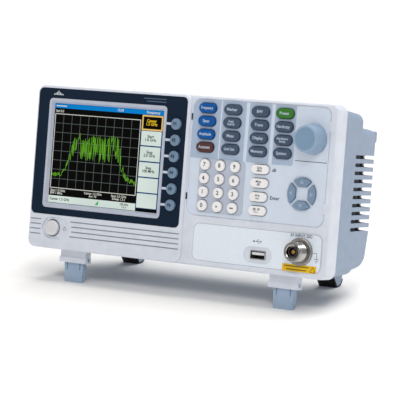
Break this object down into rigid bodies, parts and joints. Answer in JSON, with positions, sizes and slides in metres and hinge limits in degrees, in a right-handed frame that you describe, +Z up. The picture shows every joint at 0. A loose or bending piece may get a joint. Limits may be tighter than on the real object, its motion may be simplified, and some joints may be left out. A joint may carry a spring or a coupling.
{
  "type": "bench spectrum analyzer",
  "caption": "Bench spectrum analyzer leaning back on folding front legs: display with soft keys, keypad, tuning knob, arrow keys, coaxial signal input and data port.",
  "frame": {"origin": "on the bench under the middle of the bounding box, with the instrument leaning back on its opened front legs and rear feet", "axes": "+Z up from the bench, +X to the right as the user faces the front, +Y away from the user towards the back; the front face leans back 11.7 degrees about X"},
  "size_m": [0.296, 0.1224, 0.1643],
  "materials": {
    "bezel": "fine moulded texture, light grey",
    "cover": "fine moulded texture, grey blue",
    "window": "smooth navy",
    "display": "silver painted frame",
    "panel": "satin, pale blue",
    "soft_key": "satin grey blue",
    "blue_key": "satin blue",
    "brown_key": "satin brown",
    "slate_key": "satin slate",
    "green_key": "satin green",
    "white_key": "satin white",
    "arrow_key": "satin blue grey",
    "power_key": "satin pearl",
    "knob": "satin steel blue",
    "leg": "moulded blue grey",
    "rubber": "matte black",
    "connector": "turned, bright",
    "port_shell": "pressed steel",
    "circuit_board": "green solder resist",
    "shield": "plain sheet",
    "screw": "zinc plated",
    "inlet": "black moulding"
  },
  "bodies": {
    "case": {"front_bezel": "bezel", "rear_cover": "cover", "display_window": "window", "lcd_module": "display", "keypad_panel": "panel", "key_board": "circuit_board", "main_board": "circuit_board", "rf_module": "shield", "input_connector": "connector", "usb_port": "port_shell", "rear_feet": "rubber", "case_screws": "screw", "power_supply": "circuit_board", "power_inlet": "inlet"},
    "key_f1": {"key_f1": "soft_key"},
    "key_f2": {"key_f2": "soft_key"},
    "key_f3": {"key_f3": "soft_key"},
    "key_f4": {"key_f4": "soft_key"},
    "key_f5": {"key_f5": "soft_key"},
    "key_f6": {"key_f6": "soft_key"},
    "key_frequency": {"key_frequency": "blue_key"},
    "key_span": {"key_span": "blue_key"},
    "key_amplitude": {"key_amplitude": "blue_key"},
    "key_autoset": {"key_autoset": "brown_key"},
    "key_marker": {"key_marker": "slate_key"},
    "key_peak_search": {"key_peak_search": "slate_key"},
    "key_measure": {"key_measure": "slate_key"},
    "key_limit_line": {"key_limit_line": "slate_key"},
    "key_bandwidth": {"key_bandwidth": "slate_key"},
    "key_trace": {"key_trace": "slate_key"},
    "key_display": {"key_display": "slate_key"},
    "key_memory": {"key_memory": "slate_key"},
    "key_preset": {"key_preset": "green_key"},
    "key_hardcopy": {"key_hardcopy": "slate_key"},
    "key_hardware": {"key_hardware": "slate_key"},
    "key_system": {"key_system": "slate_key"},
    "key_7": {"key_7": "white_key"},
    "key_8": {"key_8": "white_key"},
    "key_9": {"key_9": "white_key"},
    "key_4": {"key_4": "white_key"},
    "key_5": {"key_5": "white_key"},
    "key_6": {"key_6": "white_key"},
    "key_1": {"key_1": "white_key"},
    "key_2": {"key_2": "white_key"},
    "key_3": {"key_3": "white_key"},
    "key_0": {"key_0": "white_key"},
    "key_point": {"key_point": "white_key"},
    "key_sign": {"key_sign": "white_key"},
    "key_ghz": {"key_ghz": "white_key"},
    "key_mhz": {"key_mhz": "white_key"},
    "key_khz": {"key_khz": "white_key"},
    "key_backspace": {"key_backspace": "white_key"},
    "key_arrow_right": {"key_arrow_right": "arrow_key"},
    "key_arrow_up": {"key_arrow_up": "arrow_key"},
    "key_arrow_left": {"key_arrow_left": "arrow_key"},
    "key_arrow_down": {"key_arrow_down": "arrow_key"},
    "power_button": {"power_button": "power_key"},
    "tuning_knob": {"tuning_knob": "knob"},
    "left_leg": {"left_leg": "leg"},
    "right_leg": {"right_leg": "leg"}
  },
  "joints": [
    {"name": "key_f1_press", "type": "slide", "parent": "case", "child": "key_f1", "axis": [0, 0.9793, -0.2024], "range_m": [0, 0.0015], "stiffness_N_per_m": 700, "springref_m": -0.0005},
    {"name": "key_f2_press", "type": "slide", "parent": "case", "child": "key_f2", "axis": [0, 0.9793, -0.2024], "range_m": [0, 0.0015], "stiffness_N_per_m": 700, "springref_m": -0.0005},
    {"name": "key_f3_press", "type": "slide", "parent": "case", "child": "key_f3", "axis": [0, 0.9793, -0.2024], "range_m": [0, 0.0015], "stiffness_N_per_m": 700, "springref_m": -0.0005},
    {"name": "key_f4_press", "type": "slide", "parent": "case", "child": "key_f4", "axis": [0, 0.9793, -0.2024], "range_m": [0, 0.0015], "stiffness_N_per_m": 700, "springref_m": -0.0005},
    {"name": "key_f5_press", "type": "slide", "parent": "case", "child": "key_f5", "axis": [0, 0.9793, -0.2024], "range_m": [0, 0.0015], "stiffness_N_per_m": 700, "springref_m": -0.0005},
    {"name": "key_f6_press", "type": "slide", "parent": "case", "child": "key_f6", "axis": [0, 0.9793, -0.2024], "range_m": [0, 0.0015], "stiffness_N_per_m": 700, "springref_m": -0.0005},
    {"name": "key_frequency_press", "type": "slide", "parent": "case", "child": "key_frequency", "axis": [0, 0.9793, -0.2024], "range_m": [0, 0.0015], "stiffness_N_per_m": 700, "springref_m": -0.0005},
    {"name": "key_span_press", "type": "slide", "parent": "case", "child": "key_span", "axis": [0, 0.9793, -0.2024], "range_m": [0, 0.0015], "stiffness_N_per_m": 700, "springref_m": -0.0005},
    {"name": "key_amplitude_press", "type": "slide", "parent": "case", "child": "key_amplitude", "axis": [0, 0.9793, -0.2024], "range_m": [0, 0.0015], "stiffness_N_per_m": 700, "springref_m": -0.0005},
    {"name": "key_autoset_press", "type": "slide", "parent": "case", "child": "key_autoset", "axis": [0, 0.9793, -0.2024], "range_m": [0, 0.0015], "stiffness_N_per_m": 700, "springref_m": -0.0005},
    {"name": "key_marker_press", "type": "slide", "parent": "case", "child": "key_marker", "axis": [0, 0.9793, -0.2024], "range_m": [0, 0.0015], "stiffness_N_per_m": 700, "springref_m": -0.0005},
    {"name": "key_peak_search_press", "type": "slide", "parent": "case", "child": "key_peak_search", "axis": [0, 0.9793, -0.2024], "range_m": [0, 0.0015], "stiffness_N_per_m": 700, "springref_m": -0.0005},
    {"name": "key_measure_press", "type": "slide", "parent": "case", "child": "key_measure", "axis": [0, 0.9793, -0.2024], "range_m": [0, 0.0015], "stiffness_N_per_m": 700, "springref_m": -0.0005},
    {"name": "key_limit_line_press", "type": "slide", "parent": "case", "child": "key_limit_line", "axis": [0, 0.9793, -0.2024], "range_m": [0, 0.0015], "stiffness_N_per_m": 700, "springref_m": -0.0005},
    {"name": "key_bandwidth_press", "type": "slide", "parent": "case", "child": "key_bandwidth", "axis": [0, 0.9793, -0.2024], "range_m": [0, 0.0015], "stiffness_N_per_m": 700, "springref_m": -0.0005},
    {"name": "key_trace_press", "type": "slide", "parent": "case", "child": "key_trace", "axis": [0, 0.9793, -0.2024], "range_m": [0, 0.0015], "stiffness_N_per_m": 700, "springref_m": -0.0005},
    {"name": "key_display_press", "type": "slide", "parent": "case", "child": "key_display", "axis": [0, 0.9793, -0.2024], "range_m": [0, 0.0015], "stiffness_N_per_m": 700, "springref_m": -0.0005},
    {"name": "key_memory_press", "type": "slide", "parent": "case", "child": "key_memory", "axis": [0, 0.9793, -0.2024], "range_m": [0, 0.0015], "stiffness_N_per_m": 700, "springref_m": -0.0005},
    {"name": "key_preset_press", "type": "slide", "parent": "case", "child": "key_preset", "axis": [0, 0.9793, -0.2024], "range_m": [0, 0.0015], "stiffness_N_per_m": 700, "springref_m": -0.0005},
    {"name": "key_hardcopy_press", "type": "slide", "parent": "case", "child": "key_hardcopy", "axis": [0, 0.9793, -0.2024], "range_m": [0, 0.0015], "stiffness_N_per_m": 700, "springref_m": -0.0005},
    {"name": "key_hardware_press", "type": "slide", "parent": "case", "child": "key_hardware", "axis": [0, 0.9793, -0.2024], "range_m": [0, 0.0015], "stiffness_N_per_m": 700, "springref_m": -0.0005},
    {"name": "key_system_press", "type": "slide", "parent": "case", "child": "key_system", "axis": [0, 0.9793, -0.2024], "range_m": [0, 0.0015], "stiffness_N_per_m": 700, "springref_m": -0.0005},
    {"name": "key_7_press", "type": "slide", "parent": "case", "child": "key_7", "axis": [0, 0.9793, -0.2024], "range_m": [0, 0.0015], "stiffness_N_per_m": 700, "springref_m": -0.0005},
    {"name": "key_8_press", "type": "slide", "parent": "case", "child": "key_8", "axis": [0, 0.9793, -0.2024], "range_m": [0, 0.0015], "stiffness_N_per_m": 700, "springref_m": -0.0005},
    {"name": "key_9_press", "type": "slide", "parent": "case", "child": "key_9", "axis": [0, 0.9793, -0.2024], "range_m": [0, 0.0015], "stiffness_N_per_m": 700, "springref_m": -0.0005},
    {"name": "key_4_press", "type": "slide", "parent": "case", "child": "key_4", "axis": [0, 0.9793, -0.2024], "range_m": [0, 0.0015], "stiffness_N_per_m": 700, "springref_m": -0.0005},
    {"name": "key_5_press", "type": "slide", "parent": "case", "child": "key_5", "axis": [0, 0.9793, -0.2024], "range_m": [0, 0.0015], "stiffness_N_per_m": 700, "springref_m": -0.0005},
    {"name": "key_6_press", "type": "slide", "parent": "case", "child": "key_6", "axis": [0, 0.9793, -0.2024], "range_m": [0, 0.0015], "stiffness_N_per_m": 700, "springref_m": -0.0005},
    {"name": "key_1_press", "type": "slide", "parent": "case", "child": "key_1", "axis": [0, 0.9793, -0.2024], "range_m": [0, 0.0015], "stiffness_N_per_m": 700, "springref_m": -0.0005},
    {"name": "key_2_press", "type": "slide", "parent": "case", "child": "key_2", "axis": [0, 0.9793, -0.2024], "range_m": [0, 0.0015], "stiffness_N_per_m": 700, "springref_m": -0.0005},
    {"name": "key_3_press", "type": "slide", "parent": "case", "child": "key_3", "axis": [0, 0.9793, -0.2024], "range_m": [0, 0.0015], "stiffness_N_per_m": 700, "springref_m": -0.0005},
    {"name": "key_0_press", "type": "slide", "parent": "case", "child": "key_0", "axis": [0, 0.9793, -0.2024], "range_m": [0, 0.0015], "stiffness_N_per_m": 700, "springref_m": -0.0005},
    {"name": "key_point_press", "type": "slide", "parent": "case", "child": "key_point", "axis": [0, 0.9793, -0.2024], "range_m": [0, 0.0015], "stiffness_N_per_m": 700, "springref_m": -0.0005},
    {"name": "key_sign_press", "type": "slide", "parent": "case", "child": "key_sign", "axis": [0, 0.9793, -0.2024], "range_m": [0, 0.0015], "stiffness_N_per_m": 700, "springref_m": -0.0005},
    {"name": "key_ghz_press", "type": "slide", "parent": "case", "child": "key_ghz", "axis": [0, 0.9793, -0.2024], "range_m": [0, 0.0015], "stiffness_N_per_m": 700, "springref_m": -0.0005},
    {"name": "key_mhz_press", "type": "slide", "parent": "case", "child": "key_mhz", "axis": [0, 0.9793, -0.2024], "range_m": [0, 0.0015], "stiffness_N_per_m": 700, "springref_m": -0.0005},
    {"name": "key_khz_press", "type": "slide", "parent": "case", "child": "key_khz", "axis": [0, 0.9793, -0.2024], "range_m": [0, 0.0015], "stiffness_N_per_m": 700, "springref_m": -0.0005},
    {"name": "key_backspace_press", "type": "slide", "parent": "case", "child": "key_backspace", "axis": [0, 0.9793, -0.2024], "range_m": [0, 0.0015], "stiffness_N_per_m": 700, "springref_m": -0.0005},
    {"name": "key_arrow_right_press", "type": "slide", "parent": "case", "child": "key_arrow_right", "axis": [0, 0.9793, -0.2024], "range_m": [0, 0.0015], "stiffness_N_per_m": 700, "springref_m": -0.0005},
    {"name": "key_arrow_up_press", "type": "slide", "parent": "case", "child": "key_arrow_up", "axis": [0, 0.9793, -0.2024], "range_m": [0, 0.0015], "stiffness_N_per_m": 700, "springref_m": -0.0005},
    {"name": "key_arrow_left_press", "type": "slide", "parent": "case", "child": "key_arrow_left", "axis": [0, 0.9793, -0.2024], "range_m": [0, 0.0015], "stiffness_N_per_m": 700, "springref_m": -0.0005},
    {"name": "key_arrow_down_press", "type": "slide", "parent": "case", "child": "key_arrow_down", "axis": [0, 0.9793, -0.2024], "range_m": [0, 0.0015], "stiffness_N_per_m": 700, "springref_m": -0.0005},
    {"name": "power_button_press", "type": "slide", "parent": "case", "child": "power_button", "axis": [0, 0.9793, -0.2024], "range_m": [0, 0.0015], "stiffness_N_per_m": 900, "springref_m": -0.0005},
    {"name": "tuning_knob_turn", "type": "hinge", "parent": "case", "child": "tuning_knob", "pos_m": [0.126, -0.02947, 0.13634], "axis": [0, -0.9793, 0.2024], "continuous": true},
    {"name": "left_leg_fold", "type": "hinge", "parent": "case", "child": "left_leg", "pos_m": [-0.1045, -0.04293, 0.01934], "axis": [1, 0, 0], "range_deg": [0, 90]},
    {"name": "right_leg_fold", "type": "hinge", "parent": "case", "child": "right_leg", "pos_m": [0.1045, -0.04293, 0.01934], "axis": [1, 0, 0], "range_deg": [0, 90]}
  ]
}
